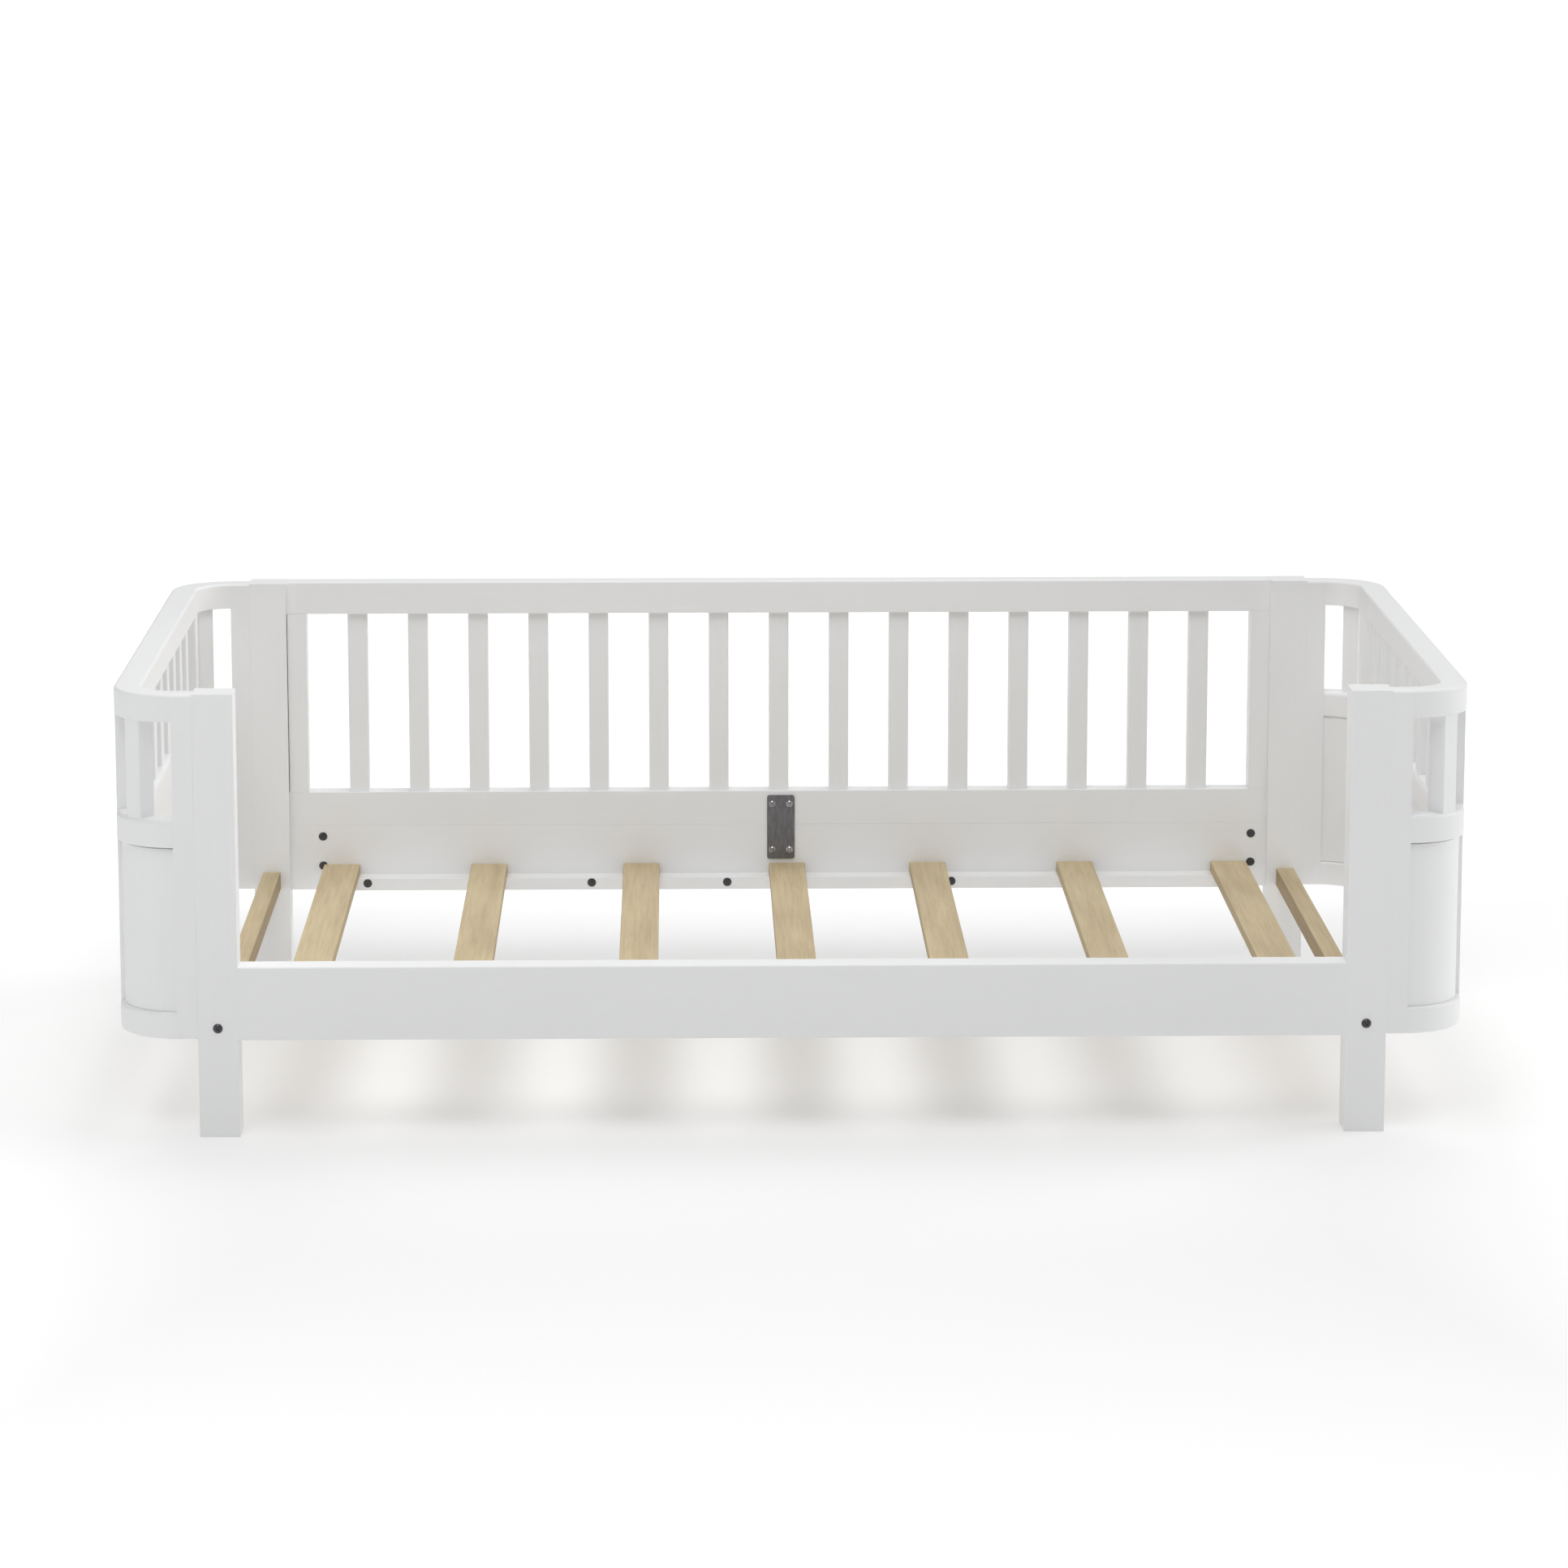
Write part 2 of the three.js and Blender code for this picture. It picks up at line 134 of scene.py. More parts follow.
# Painted shade on the upright faces of the crossbars and of the bed slats.
CROSSBAR_PAINTED_SIDE_SHADE = (0.60, 0.52, 0.38)
SLAT_PAINTED_SIDE_SHADE = (0.74, 0.69, 0.60)
BOLT_COLOR = (0.070, 0.070, 0.076)
PLATE_COLOR = (0.165, 0.168, 0.182)
SCREW_COLOR = (0.36, 0.36, 0.37)

# A painted piece's number shifts its grain. These are the first numbers of each kind of piece.
END_NUMBERS = {"left": 100, "right": 120}
BAR_NUMBER = 200
TOP_RAIL_NUMBER = 210
SPINDLE_NUMBER = 220

# ---- Bolts and screws ----

# Where they are along X, and on the back board also up Z.
BOARD_BOLTS = {
    "left_upper": (-0.530, 0.163),
    "left_lower": (-0.530, 0.1284),
    "right_upper": (0.550, 0.1625),
    "right_lower": (0.550, 0.1287),
}
LEDGE_BOLTS = [-0.4774, -0.2179, -0.0607, 0.1995, 0.3500]
LEDGE_BOLT_RISE = 0.0015
PLATE_SCREW_HALF_SPACING = 0.0100
PLATE_SCREW_MARGIN = 0.0105


# ---- Node trees ----

class Nodes:
    """A short way to write a material's node tree."""

    def __init__(self, name):
        self.material = bpy.data.materials.new(name)
        self.material.use_nodes = True
        self.tree = self.material.node_tree
        self.shader = self.tree.nodes["Principled BSDF"]

    def add(self, kind, **settings):
        node = self.tree.nodes.new(kind)
        for key, value in settings.items():
            setattr(node, key, value)
        return node

    def link(self, source, target):
        self.tree.links.new(source, target)

    def coordinates(self, scale, offset=(0, 0, 0)):
        """The place on a piece in metres, stretched by a scale on each axis."""
        position = self.add("ShaderNodeTexCoord")
        mapping = self.add("ShaderNodeMapping")
        mapping.inputs["Scale"].default_value = scale
        mapping.inputs["Location"].default_value = offset
        self.link(position.outputs["Object"], mapping.inputs["Vector"])
        return mapping.outputs["Vector"]

    def noise(self, vector, scale, detail, roughness=0.55):
        node = self.add("ShaderNodeTexNoise")
        node.inputs["Scale"].default_value = scale
        node.inputs["Detail"].default_value = detail
        node.inputs["Roughness"].default_value = roughness
        self.link(vector, node.inputs["Vector"])
        return node.outputs["Fac"]

    def ramp(self, value, stops):
        node = self.add("ShaderNodeValToRGB")
        elements = node.color_ramp.elements
        while len(elements) < len(stops):
            elements.new(0.5)
        for element, (place, color) in zip(elements, stops):
            element.position = place
            element.color = (*color, 1)
        self.link(value, node.inputs["Fac"])
        return node.outputs["Color"]

    def remap(self, value, low, high):
        node = self.add("ShaderNodeMapRange")
        node.inputs["To Min"].default_value = low
        node.inputs["To Max"].default_value = high
        self.link(value, node.inputs["Value"])
        return node.outputs["Result"]

    def multiplied(self, first, second):
        """Two colours multiplied."""
        node = self.add("ShaderNodeMix", data_type="RGBA", blend_type="MULTIPLY")
        node.inputs["Factor"].default_value = 1.0
        self.link(first, node.inputs["A"])
        self.link(second, node.inputs["B"])
        return node.outputs["Result"]

    def math(self, operation, first, second=None):
        """One step of arithmetic on a value, or on two."""
        node = self.add("ShaderNodeMath", operation=operation)
        self.link(first, node.inputs[0])
        if second is not None:
            self.link(second, node.inputs[1])
        return node.outputs["Value"]

    def faded(self, value, limits, low, high):
        """A value that runs smoothly from low to high while another goes between its limits."""
        fade = self.add("ShaderNodeMapRange", interpolation_type="SMOOTHSTEP")
        fade.inputs["From Min"].default_value = limits[0]
        fade.inputs["From Max"].default_value = limits[1]
        fade.inputs["To Min"].default_value = low
        fade.inputs["To Max"].default_value = high
        self.link(value, fade.inputs["Value"])
        return fade.outputs["Result"]

    def bump(self, height, strength, distance, below=None):
        node = self.add("ShaderNodeBump")
        node.inputs["Strength"].default_value = strength
        node.inputs["Distance"].default_value = distance
        self.link(height, node.inputs["Height"])
        if below is not None:
            self.link(below, node.inputs["Normal"])
        return node.outputs["Normal"]


# ---- Camera, light and floor ----

def add_camera():
    focal_length_mm = 122.6
    sensor_width_mm = 36
    position = (-0.1165, -5.7278, 1.3807)
    turn_to_right = math.radians(1.149)
    tilt_down = math.radians(10.755)
    data = bpy.data.cameras.new("camera")
    data.lens = focal_length_mm
    data.sensor_width = sensor_width_mm
    data.clip_end = 200
    camera = bpy.data.objects.new("camera", data)
    camera.location = position
    camera.rotation_euler = (math.pi / 2 - tilt_down, 0, -turn_to_right)
    bpy.context.scene.collection.objects.link(camera)
    bpy.context.scene.camera = camera


def add_world():
    world = bpy.data.worlds.new("studio")
    world.use_nodes = True
    background = world.node_tree.nodes["Background"]
    background.inputs["Color"].default_value = (1, 1, 1, 1)
    background.inputs["Strength"].default_value = WORLD_STRENGTH
    bpy.context.scene.world = world


def add_sun(name, towards, strength, angle):
    data = bpy.data.lights.new(name, "SUN")
    data.energy = strength
    data.angle = math.radians(angle)
    light = bpy.data.objects.new(name, data)
    light.rotation_euler = Vector(towards).to_track_quat("Z", "Y").to_euler()
    bpy.context.scene.collection.objects.link(light)


def add_softbox(name, place, target, size, power):
    data = bpy.data.lights.new(name, "AREA")
    data.shape = "SQUARE"
    data.size = size
    data.energy = power
    light = bpy.data.objects.new(name, data)
    light.location = place
    backwards = Vector(place) - Vector(target)
    light.rotation_euler = backwards.to_track_quat("Z", "Y").to_euler()
    bpy.context.scene.collection.objects.link(light)


def add_lights():
    for name, sun in SUNS.items():
        add_sun(name, *sun)
    for name, softbox in SOFTBOXES.items():
        add_softbox(name, *softbox)


def pale_floor():
    """A plain pale studio floor that glows a little, least beneath the bed, where the weaker glow is
    a painted shadow of the bed, and most behind it.
    """
    nodes = Nodes("pale_floor")
    position = nodes.add("ShaderNodeTexCoord")
    parts = nodes.add("ShaderNodeSeparateXYZ")
    nodes.link(position.outputs["Object"], parts.inputs["Vector"])
    sideways = nodes.math("ABSOLUTE", parts.outputs["X"])
    beside = nodes.faded(sideways, FADE_BESIDE, GLOW_BENEATH, GLOW_AROUND)
    before = nodes.faded(parts.outputs["Y"], FADE_BEFORE, GLOW_AROUND, GLOW_BENEATH)
    behind = nodes.faded(parts.outputs["Y"], FADE_BEHIND, GLOW_BENEATH, GLOW_BEHIND)
    glow = nodes.math("MAXIMUM", nodes.math("MAXIMUM", beside, before), behind)
    nodes.link(glow, nodes.shader.inputs["Emission Strength"])
    nodes.shader.inputs["Base Color"].default_value = (FLOOR_ALBEDO, FLOOR_ALBEDO, FLOOR_ALBEDO, 1)
    nodes.shader.inputs["Roughness"].default_value = 0.9
    nodes.shader.inputs["Specular IOR Level"].default_value = 0.2
    nodes.shader.inputs["Emission Color"].default_value = (1, 1, 1, 1)
    return nodes.material


def add_floor():
    half_size = 60
    mesh = bpy.data.meshes.new("floor")
    corners = [(-half_size, -half_size, 0), (half_size, -half_size, 0),
               (half_size, half_size, 0), (-half_size, half_size, 0)]
    mesh.from_pydata(corners, [], [(0, 1, 2, 3)])
    floor = bpy.data.objects.new("floor", mesh)
    mesh.materials.append(pale_floor())
    bpy.context.scene.collection.objects.link(floor)


# ---- Materials ----

def grain_scale(axis, along, across):
    """A texture scale that is long along one axis and fine across the other two."""
    return tuple(along if i == "xyz".index(axis) else across for i in range(3))


def painted_wood(axis, number):
    """Satin white paint over wood: the grain and brush marks show faintly along the piece."""
    nodes = Nodes(f"white_paint_{axis}{number}")
    shift = (number * 0.37, number * 0.61, number * 0.23)
    along_grain = nodes.coordinates(grain_scale(axis, along=2.5, across=60), shift)
    along_brush = nodes.coordinates(grain_scale(axis, along=8, across=320), shift)
    grain = nodes.noise(along_grain, scale=6, detail=5)
    brush = nodes.noise(along_brush, scale=5, detail=3)
    mottle = nodes.noise(nodes.coordinates((1, 1, 1), shift), scale=3.5, detail=3)
    bright = tuple(min(1, c * 1.006) for c in PAINT_COLOR)
    dull = tuple(c * 0.994 for c in PAINT_COLOR)
    base = nodes.ramp(mottle, [(0.35, dull), (0.65, bright)])
    streaks = nodes.ramp(grain, [(0.30, (0.992, 0.992, 0.991)), (0.62, (1, 1, 1))])
    nodes.link(nodes.multiplied(base, streaks), nodes.shader.inputs["Base Color"])
    nodes.link(nodes.remap(brush, low=0.36, high=0.50), nodes.shader.inputs["Roughness"])
    fine = nodes.bump(brush, strength=0.04, distance=0.0003)
    relief = nodes.bump(grain, strength=0.05, distance=0.0004, below=fine)
    nodes.link(relief, nodes.shader.inputs["Normal"])
    nodes.shader.inputs["Specular IOR Level"].default_value = 0.42
    return nodes.material


def painted_side_shade(nodes, color, tone):
    """Paints shade on a board's upright faces, darker than its faces that look up or down."""
    geometry = nodes.add("ShaderNodeNewGeometry")
    parts = nodes.add("ShaderNodeSeparateXYZ")
    nodes.link(geometry.outputs["True Normal"], parts.inputs["Vector"])
    upward = nodes.math("ABSOLUTE", parts.outputs["Z"])
    return nodes.multiplied(color, nodes.ramp(upward, [(0.35, tone), (0.75, (1, 1, 1))]))


def bare_wood(axis, number, shade, tone):
    """Pale unpainted wood: broad soft figure, long growth streaks and a slightly uneven sheen."""
    nodes = Nodes(f"natural_wood_{axis}{number}")
    shift = (number * 1.7, number * 2.3, number * 0.9)
    along_figure = nodes.coordinates(grain_scale(axis, along=3.0, across=22), shift)
    along_streaks = nodes.coordinates(grain_scale(axis, along=3.5, across=90), shift)
    along_fibres = nodes.coordinates(grain_scale(axis, along=12, across=520), shift)
    figure = nodes.noise(along_figure, scale=2.0, detail=3, roughness=0.5)
    streak = nodes.noise(along_streaks, scale=3, detail=4)
    fibre = nodes.noise(along_fibres, scale=4, detail=3)
    # The shade dims the whole piece: painted shade, used on the crossbars.
    light = tuple(c * shade for c in WOOD_LIGHT)
    dark = tuple(c * shade for c in WOOD_DARK)
    base = nodes.ramp(figure, [(0.30, dark), (0.62, light)])
    bands = nodes.ramp(streak, [(0.33, (0.90, 0.87, 0.82)), (0.56, (1, 1, 1))])
    lines = nodes.ramp(fibre, [(0.30, (0.95, 0.93, 0.90)), (0.60, (1, 1, 1))])
    planed = nodes.multiplied(nodes.multiplied(base, bands), lines)
    # The upright faces get painted shade.
    nodes.link(painted_side_shade(nodes, planed, tone), nodes.shader.inputs["Base Color"])
    nodes.link(nodes.remap(fibre, low=0.48, high=0.62), nodes.shader.inputs["Roughness"])
    nodes.link(nodes.bump(fibre, strength=0.20, distance=0.0004), nodes.shader.inputs["Normal"])
    nodes.shader.inputs["Specular IOR Level"].default_value = 0.35
    return nodes.material


def brushed_steel(name, color, roughness, metallic, grain=1):
    """Steel with a faint uneven sheen, brushed upright where the grain is more than 1."""
    nodes = Nodes(name)
    along_grain = nodes.coordinates((1, 1, 1 / grain))
    cloud = nodes.noise(along_grain, scale=90 * grain, detail=3)
    fine = nodes.noise(along_grain, scale=1800, detail=2)
    dull = tuple(c * 0.85 for c in color)
    bright = tuple(c * 1.25 for c in color)
    tone = nodes.ramp(cloud, [(0.3, dull), (0.7, bright)])
    nodes.link(tone, nodes.shader.inputs["Base Color"])
    nodes.link(nodes.remap(cloud, *roughness), nodes.shader.inputs["Roughness"])
    nodes.link(nodes.bump(fine, strength=0.08, distance=0.0001), nodes.shader.inputs["Normal"])
    nodes.shader.inputs["Metallic"].default_value = metallic
    return nodes.material


# ---- Carried-over CAD nodes ----

def dress(node, material, edge, segments=3):
    """Eases a CAD node's edges with modifiers and gives it a material."""
    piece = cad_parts[node]
    weld = piece.modifiers.new("weld", "WELD")
    weld.merge_threshold = 1e-5
    flat = piece.modifiers.new("flat_faces", "DECIMATE")
    flat.decimate_type = "DISSOLVE"
    flat.angle_limit = math.radians(0.5)
    bevel = piece.modifiers.new("eased_edges", "BEVEL")
    bevel.width = edge
    bevel.segments = segments
    bevel.limit_method = "ANGLE"
    bevel.angle_limit = math.radians(40)
    piece.data.materials.clear()
    piece.data.materials.append(material)


def longest_axis(node):
    low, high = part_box(node)
    extent = high - low
    return "xyz"[max(range(3), key=lambda i: extent[i])]


def dress_frame():
    """The CAD nodes that are kept, by how their names start."""
    painted = {
        "post": POST_EDGE,
        "end_left_panel_side": PANEL_EDGE,
        "end_right_panel_side": PANEL_EDGE,
    }
    for number, node in enumerate(sorted(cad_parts)):
        kind = next((start for start in painted if node.startswith(start)), None)
        if kind:
            dress(node, painted_wood(longest_axis(node), number), painted[kind])
        elif node in ("crossbar_left", "crossbar_right"):
            dress(node, bare_wood("y", number, CROSSBAR_PAINTED_SHADE, CROSSBAR_PAINTED_SIDE_SHADE), WOOD_EDGE)
        elif node.startswith("bed_slat"):
            dress(node, bare_wood("y", number, 1.0, SLAT_PAINTED_SIDE_SHADE), WOOD_EDGE)
    steel = brushed_steel("plate_steel", PLATE_COLOR, (0.26, 0.36), metallic=0.5, grain=4)
    dress("guard_plate", steel, PLATE_EDGE, segments=2)


# ---- Pieces made here ----

def finish_piece(name, mesh, material, replaced=()):
    """Puts a made piece in the scene, riding on the body in the place of the nodes it replaces."""
    mesh.materials.append(material)
    piece = bpy.data.objects.new(name, mesh)
    bpy.context.scene.collection.objects.link(piece)
    normals = piece.modifiers.new("flat_faces_stay_flat", "WEIGHTED_NORMAL")
    normals.keep_sharp = True
    normals.weight = 100
    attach(piece, BODY)
    if replaced:
        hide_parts(*replaced)


def finish_painted(name, mesh, axis, number, node):
    """A white painted piece with its grain along an axis, in the place of a CAD node."""
    finish_piece(name, mesh, painted_wood(axis, number), [node])


def smooth_mesh(name, bm, sharp_angle=35):
    """A mesh from bmesh data, shaded smooth except across sharp edges."""
    bmesh.ops.recalc_face_normals(bm, faces=bm.faces)
    mesh = bpy.data.meshes.new(name)
    bm.to_mesh(mesh)
    bm.free()
    mesh.shade_smooth()
    mesh.set_sharp_from_angle(angle=math.radians(sharp_angle))
    return mesh


def sort_by_place(elements, place):
    rank = {element: i for i, element in enumerate(sorted(elements, key=place))}
    elements.sort(key=lambda element: rank[element])


def bar_mesh(low, high, axis, edge, lower_edge=None):
    """A box whose long edges are rounded and whose ends are flat, to butt against a neighbour."""
    bm = bmesh.new()
    bmesh.ops.create_cube(bm, size=1)
    size = Vector(high) - Vector(low)
    middle = (Vector(high) + Vector(low)) / 2
    placed = Matrix.Translation(middle) @ Matrix.Diagonal((*size, 1))
    bmesh.ops.transform(bm, matrix=placed, verts=bm.verts)
    others = [i for i in range(3) if i != "xyz".index(axis)]

    def runs_along(bar_edge):
        first, second = bar_edge.verts
        return all(abs(first.co[i] - second.co[i]) < 1e-7 for i in others)

    def is_underneath(bar_edge):
        return max(vert.co.z for vert in bar_edge.verts) < middle.z

    along = [e for e in bm.edges if runs_along(e)]
    underneath = [e for e in along if is_underneath(e)] if lower_edge else []
    above = [e for e in along if e not in underneath]
    bmesh.ops.bevel(bm, geom=above, offset=edge, segments=4, profile=0.5, affect="EDGES")
    if underneath:
        bmesh.ops.bevel(bm, geom=[e for e in underneath if e.is_valid], offset=lower_edge,
                        segments=2, profile=0.5, affect="EDGES")
        # The second bevel leaves them in an order that varies from run to run.
        sort_by_place(bm.verts, lambda vert: tuple(vert.co))
        sort_by_place(bm.faces, lambda face: tuple(face.calc_center_median()))
    return bm


def straight_bar(node, axis, edge, number, lower_edge=None):
    """Rebuilds a straight CAD piece that is glued in between its neighbours."""
    low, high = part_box(node)
    name = f"{node}_bar"
    mesh = smooth_mesh(name, bar_mesh(low, high, axis, edge, lower_edge))
    finish_painted(name, mesh, longest_axis(node), number, node)


def add_straight_bars():
    """The rails run along X; the end stiles are rounded along X too, in line with the bent rails."""
    bars = {
        "front_rail": ("x", BAR_EDGE),
        "back_board": ("x", FLUSH_EDGE),
        "guard_lower_rail": ("x", FLUSH_EDGE),
        "ledge_front": ("x", FLUSH_EDGE),
        "ledge_back": ("x", FLUSH_EDGE),
        "guard_stile_left": ("z", FLUSH_EDGE),
        "guard_stile_right": ("z", FLUSH_EDGE),
        "end_left_stile_front": ("x", RAIL_EDGE),
        "end_left_stile_back": ("x", RAIL_EDGE),
        "end_right_stile_front": ("x", RAIL_EDGE),
        "end_right_stile_back": ("x", RAIL_EDGE),
    }
    for number, (node, (axis, edge)) in enumerate(bars.items()):
        straight_bar(node, axis, edge, BAR_NUMBER + number)
    straight_bar("guard_top_rail", "x", BAR_EDGE, TOP_RAIL_NUMBER, FLUSH_EDGE)
    spindles = sorted(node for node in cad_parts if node.startswith("guard_spindle"))
    for number, node in enumerate(spindles):
        straight_bar(node, "z", SLAT_EDGE, SPINDLE_NUMBER + number)


def rounded_section(radius_in, radius_out, bottom, top, bottom_edge, top_edge, steps=5):
    """A rounded rectangle as (radius, height) points, going round once."""
    corners = [
        (radius_out, bottom, bottom_edge, -90, -1, 1),
        (radius_out, top, top_edge, 0, -1, -1),
        (radius_in, top, top_edge, 90, 1, -1),
        (radius_in, bottom, bottom_edge, 180, 1, 1),
    ]
    points = []
    for radius, height, edge, start, inwards, upwards in corners:
        for i in range(steps + 1):
            angle = math.radians(start + 90 * i / steps)
            points.append((radius + edge * (inwards + math.cos(angle)),
                           height + edge * (upwards + math.sin(angle))))
    return points


def lofted(name, rings):
    """A closed body through rings of points, with a flat cap at each end."""
    bm = bmesh.new()
    loops = [[bm.verts.new(point) for point in ring] for ring in rings]
    count = len(rings[0])
    for first, second in zip(loops, loops[1:]):
        for i in range(count):
            bm.faces.new((first[i], first[(i + 1) % count], second[(i + 1) % count], second[i]))
    bm.faces.new(loops[0])
    bm.faces.new(loops[-1])
    return smooth_mesh(name, bm)


class End:
    """Where the parts of one end frame are, worked out from its CAD nodes."""

    def __init__(self, side):
        self.side = side
        self.sign = SIDES[side]
        low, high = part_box(f"end_{side}_top_rail")
        self.outer_x = max(abs(low.x), abs(high.x))
        self.start_x = min(abs(low.x), abs(high.x))
        self.arc_x = self.outer_x - CORNER_RADIUS
        self.middle_y = (low.y + high.y) / 2
        self.half_arc_y = (high.y - low.y) / 2 - CORNER_RADIUS

    def corner_point(self, radius, height, share, face, stop_gap=0.0):
        """A point of a rounded corner: share 0 is beside the end stile, 1 where the side begins."""
        start = math.acos((self.start_x - self.arc_x) / radius)
        stop = math.asin(stop_gap / radius)
        angle = start + (stop - start) * share
        x = self.arc_x + radius * math.cos(angle)
        y = self.half_arc_y + radius * math.sin(angle)
        return (self.sign * x, self.middle_y + FACES[face] * y, height)

    def arc_centre(self, face):
        return (self.sign * self.arc_x, self.middle_y + FACES[face] * self.half_arc_y)


ARC_STEPS = 28

# A bent rail's last ring in the corner stands just short of the first one on the straight side.
LAST_ARC_SHARE = 1 - 0.4 / ARC_STEPS


def side_places(end):
    """Places along the straight side of an end rail: Y from its middle, share of the full edge."""
    outer = end.half_arc_y
    inner = outer - CORNER_STILE_WIDTH
    blend = 0.0012
    half = [(outer, 0), (inner, 0), (inner - blend, 1)]
    return half + [(-y, share) for y, share in reversed(half)]


def bent_rail(end, name, node, bottom, top, edges, number):
    """A rail bent round both corners. edges gives the lower and the upper edge, and for each
    whether it fades out where a corner stile stands flush on the rail."""
    rings = []

    def add_ring(place, share):
        below, above = [max(edge * share, LEAST_EDGE) if meets_stile else edge
                        for edge, meets_stile in edges]
        inner = CORNER_RADIUS - RAIL_THICKNESS
        section = rounded_section(inner, CORNER_RADIUS, bottom, top, below, above)
        rings.append([place(radius, height) for radius, height in section])

    def corner(face, share):
        return lambda radius, height: end.corner_point(radius, height, share, face)

    def along_side(y):
        return lambda radius, height: (end.sign * (end.arc_x + radius), end.middle_y + y, height)

    shares = [i / ARC_STEPS for i in range(ARC_STEPS)] + [LAST_ARC_SHARE]
    for share in shares:
        add_ring(corner("front", share), 1)
    for y, share in side_places(end):
        add_ring(along_side(-y), share)
    for share in reversed(shares):
        add_ring(corner("back", share), 1)
    finish_painted(name, lofted(name, rings), "y", number, node)


def panel_rib(end, node, bottom, top, number):
    """The rib that closes the shadow gap between the panels and the middle rail, part way in."""
    panel_out = CORNER_RADIUS - PANEL_RECESS
    rib_out = panel_out - RIB_OUTSIDE
    rib_in = panel_out - PANEL_THICKNESS + RIB_INSIDE
    section = [(rib_out, bottom), (rib_out, top), (rib_in, top), (rib_in, bottom)]
    shares = [i / ARC_STEPS for i in range(ARC_STEPS + 1)]
    places = [(share, "front") for share in shares]
    places += [(share, "back") for share in reversed(shares)]
    rings = [[end.corner_point(radius, height, share, face) for radius, height in section]
             for share, face in places]
    name = f"end_{end.side}_panel_rib"
    finish_painted(name, lofted(name, rings), "y", number, node)


def corner_panel(end, face, number):
    node = f"end_{end.side}_panel_{face}_corner"
    low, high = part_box(node)
    outer = CORNER_RADIUS - PANEL_RECESS
    inner = outer - PANEL_THICKNESS
    section = rounded_section(inner, outer, low.z, high.z, PANEL_EDGE, PANEL_EDGE, steps=2)
    rings = [[end.corner_point(radius, height, i / ARC_STEPS, face, JOINT_GAP)
              for radius, height in section] for i in range(ARC_STEPS + 1)]
    name = f"end_{end.side}_curved_panel_{face}"
    finish_painted(name, lofted(name, rings), "z", number, node)


def corner_stiles(end, comb, spans, number):
    """The flush uprights beside the curved corners, below and above the middle rail."""
    for face, face_sign in FACES.items():
        outer_y = end.middle_y + face_sign * end.half_arc_y
        inner_y = outer_y - face_sign * CORNER_STILE_WIDTH
        x_range = sorted((end.sign * end.outer_x, end.sign * (end.outer_x - RAIL_THICKNESS)))
        y_range = sorted((outer_y, inner_y))
        for part, (bottom, top) in spans.items():
            name = f"end_{end.side}_corner_stile_{face}_{part}"
            low = (x_range[0], y_range[0], bottom)
            high = (x_range[1], y_range[1], top)
            mesh = smooth_mesh(name, bar_mesh(low, high, "z", STILE_EDGE))
            finish_painted(name, mesh, "z", number, comb)


def end_slats(end, comb, bottom, top, number):
    """The slats along the side of an end, and the one in each corner, turned to face outwards."""
    outer_x = end.outer_x - SLAT_RECESS
    x_range = sorted((end.sign * outer_x, end.sign * (outer_x - SLAT_THICKNESS)))
    half_width = SLAT_WIDTH / 2
    for i in range(SLAT_COUNT):
        y = end.middle_y + (i - (SLAT_COUNT - 1) / 2) * SLAT_PITCH
        name = f"end_{end.side}_slat_{i + 1}"
        low = (x_range[0], y - half_width, bottom)
        high = (x_range[1], y + half_width, top)
        mesh = smooth_mesh(name, bar_mesh(low, high, "z", SLAT_EDGE))
        finish_painted(name, mesh, "z", number + i, comb)
    outward = end.sign * (SLAT_RECESS - CORNER_SLAT_RECESS - end.arc_x)
    for face, face_sign in FACES.items():
        cx, cy = end.arc_centre(face)
        name = f"end_{end.side}_corner_slat_{face}"
        low = (cx + outward + x_range[0], cy - half_width, bottom)
        high = (cx + outward + x_range[1], cy + half_width, top)
        bm = bar_mesh(low, high, "z", SLAT_EDGE)
        turn = Matrix.Rotation(end.sign * face_sign * CORNER_SLAT_ANGLE, 3, "Z")
        bmesh.ops.rotate(bm, cent=(cx, cy, 0), matrix=turn, verts=bm.verts)
        finish_painted(name, smooth_mesh(name, bm), "z", number, comb)


def build_end(side, number):
    """One end frame. Its comb is the CAD node of the middle rail with all that stands on it."""
    end = End(side)
    bottom_rail = f"end_{side}_bottom_rail"
    top_rail = f"end_{side}_top_rail"
    comb = f"end_{side}_middle_rail_and_slats"
    bottom_low, bottom_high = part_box(bottom_rail)
    top_low, top_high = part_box(top_rail)
    panel_low, panel_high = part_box(f"end_{side}_panel_side")
    middle_bottom = panel_high.z + PANEL_TOP_GAP
    middle_top = middle_bottom + RAIL_THICKNESS
    bent_rail(end, f"end_{side}_bent_rail_bottom", bottom_rail, bottom_low.z, bottom_high.z,
              ((RAIL_EDGE, False), (BOTTOM_RAIL_UPPER_EDGE, True)), number)
    bent_rail(end, f"end_{side}_bent_rail_middle", comb, middle_bottom, middle_top,
              ((PANEL_EDGE, True), (MIDDLE_RAIL_UPPER_EDGE, True)), number + 1)
    bent_rail(end, f"end_{side}_bent_rail_top", top_rail, top_low.z, top_high.z,
              ((PANEL_EDGE, True), (RAIL_EDGE, False)), number + 2)
    panel_rib(end, comb, panel_high.z + JOINT_GAP, middle_bottom + SLAT_TENON, number + 1)
    for face in FACES:
        corner_panel(end, face, number + 3)
    spans = {"lower": (panel_low.z, middle_bottom), "upper": (middle_top, top_low.z - JOINT_GAP)}
    corner_stiles(end, comb, spans, number + 4)
    end_slats(end, comb, middle_top - SLAT_TENON, top_low.z - JOINT_GAP, number + 5)


# ---- Making bolts and screws ----

